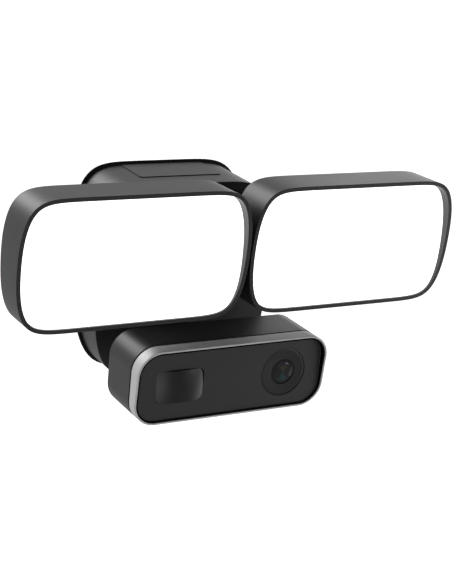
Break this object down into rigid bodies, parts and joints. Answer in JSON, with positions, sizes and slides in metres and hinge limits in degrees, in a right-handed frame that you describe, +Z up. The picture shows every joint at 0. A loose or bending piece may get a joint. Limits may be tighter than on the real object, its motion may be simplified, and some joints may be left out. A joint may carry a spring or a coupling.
{
  "type": "floodlight security camera",
  "caption": "Wall-mounted security floodlight: a wedge-shaped base carrying wide light heads side by side above a bar-shaped camera with a motion window, all on pan and tilt joints.",
  "frame": {"origin": "centre of the wall plate's back face, on the wall", "axes": "+X to the right as seen from the front, +Y into the wall, +Z up; the lights and the camera face -Y"},
  "size_m": [0.302, 0.1326, 0.1567],
  "materials": {
    "satin_shell": "satin charcoal moulded plastic with a very fine grain",
    "cast_cover": "die-cast aluminium, powder coated charcoal",
    "plate_black": "satin black painted steel",
    "seal_rubber": "matt black silicone rubber",
    "diffuser": "opal white diffuser, lit",
    "white_plastic": "matt white moulded plastic",
    "led_board": "white solder mask on an aluminium-core board",
    "circuit_board": "green solder mask",
    "black_plastic": "matt black plastic",
    "bare_aluminium": "bare aluminium can",
    "bezel_silver": "satin silver metallic ring",
    "gloss_front": "dark smoked gloss panel",
    "motion_window": "dark infrared-clear plastic, semi-gloss",
    "lens_surround": "dark smoked ring",
    "lens_glass": "coated lens glass",
    "fastener_steel": "plated steel"
  },
  "bodies": {
    "base": {"wall_plate": "plate_black", "wall_gasket": "seal_rubber", "cable_grommet": "seal_rubber", "base_housing": "satin_shell", "service_cover": "satin_shell", "driver_board": "circuit_board", "driver_transformer": "black_plastic", "driver_relay": "black_plastic", "driver_capacitor": "bare_aluminium", "terminal_block": "white_plastic", "siren": "black_plastic", "housing_screw_left": "fastener_steel", "housing_screw_right": "fastener_steel", "left_head_arm": "satin_shell", "right_head_arm": "satin_shell", "camera_arm": "satin_shell"},
    "left_swivel": {"left_head_knuckle": "satin_shell", "left_head_pan_bolt": "fastener_steel"},
    "left_head": {"left_head_housing": "satin_shell", "left_head_diffuser": "diffuser", "left_head_diffuser_seal": "seal_rubber", "left_head_reflector": "white_plastic", "left_head_led_board": "led_board", "left_head_rear_cover": "cast_cover", "left_head_tilt_bolt": "fastener_steel", "left_head_screw_lower_left": "fastener_steel", "left_head_screw_upper_left": "fastener_steel", "left_head_screw_lower_right": "fastener_steel", "left_head_screw_upper_right": "fastener_steel"},
    "right_swivel": {"right_head_knuckle": "satin_shell", "right_head_pan_bolt": "fastener_steel"},
    "right_head": {"right_head_housing": "satin_shell", "right_head_diffuser": "diffuser", "right_head_diffuser_seal": "seal_rubber", "right_head_reflector": "white_plastic", "right_head_led_board": "led_board", "right_head_rear_cover": "cast_cover", "right_head_tilt_bolt": "fastener_steel", "right_head_screw_lower_left": "fastener_steel", "right_head_screw_upper_left": "fastener_steel", "right_head_screw_lower_right": "fastener_steel", "right_head_screw_upper_right": "fastener_steel"},
    "camera_swivel": {"camera_knuckle": "satin_shell", "camera_pan_bolt": "fastener_steel"},
    "camera_module": {"camera_bezel": "bezel_silver", "camera_front_panel": "gloss_front", "camera_seam_gasket": "seal_rubber", "camera_shell": "satin_shell", "motion_lens": "motion_window", "motion_sensor": "fastener_steel", "lens_ring": "lens_surround", "lens_barrel": "black_plastic", "lens_glass": "lens_glass", "infrared_board": "circuit_board", "image_sensor_board": "circuit_board", "main_board": "circuit_board", "speaker": "black_plastic", "camera_tilt_bolt": "fastener_steel"},
    "button": {"setup_button": "seal_rubber"}
  },
  "joints": [
    {"name": "left_head_pan", "type": "hinge", "parent": "base", "child": "left_swivel", "pos_m": [-0.044, -0.0623, 0.03006], "axis": [0, 0.1994, -0.9799], "range_deg": [0, 45]},
    {"name": "left_head_tilt", "type": "hinge", "parent": "left_swivel", "child": "left_head", "pos_m": [-0.044, -0.08386, 0.02567], "axis": [1, 0, 0], "range_deg": [-30, 30]},
    {"name": "right_head_pan", "type": "hinge", "parent": "base", "child": "right_swivel", "pos_m": [0.044, -0.0623, 0.03006], "axis": [0, -0.1994, 0.9799], "range_deg": [0, 45]},
    {"name": "right_head_tilt", "type": "hinge", "parent": "right_swivel", "child": "right_head", "pos_m": [0.044, -0.08386, 0.02567], "axis": [1, 0, 0], "range_deg": [-30, 30]},
    {"name": "camera_pan", "type": "hinge", "parent": "base", "child": "camera_swivel", "pos_m": [0, -0.0447, -0.05214], "axis": [0, -0.1994, 0.9799], "range_deg": [-20, 20]},
    {"name": "camera_tilt", "type": "hinge", "parent": "camera_swivel", "child": "camera_module", "pos_m": [0, -0.06626, -0.05653], "axis": [1, 0, 0], "range_deg": [-15, 20]},
    {"name": "setup_button_press", "type": "slide", "parent": "camera_module", "child": "button", "axis": [0, -0.9816, -0.1908], "range_m": [0, 0.0008], "stiffness_N_per_m": 500, "springref_m": -0.0004}
  ]
}
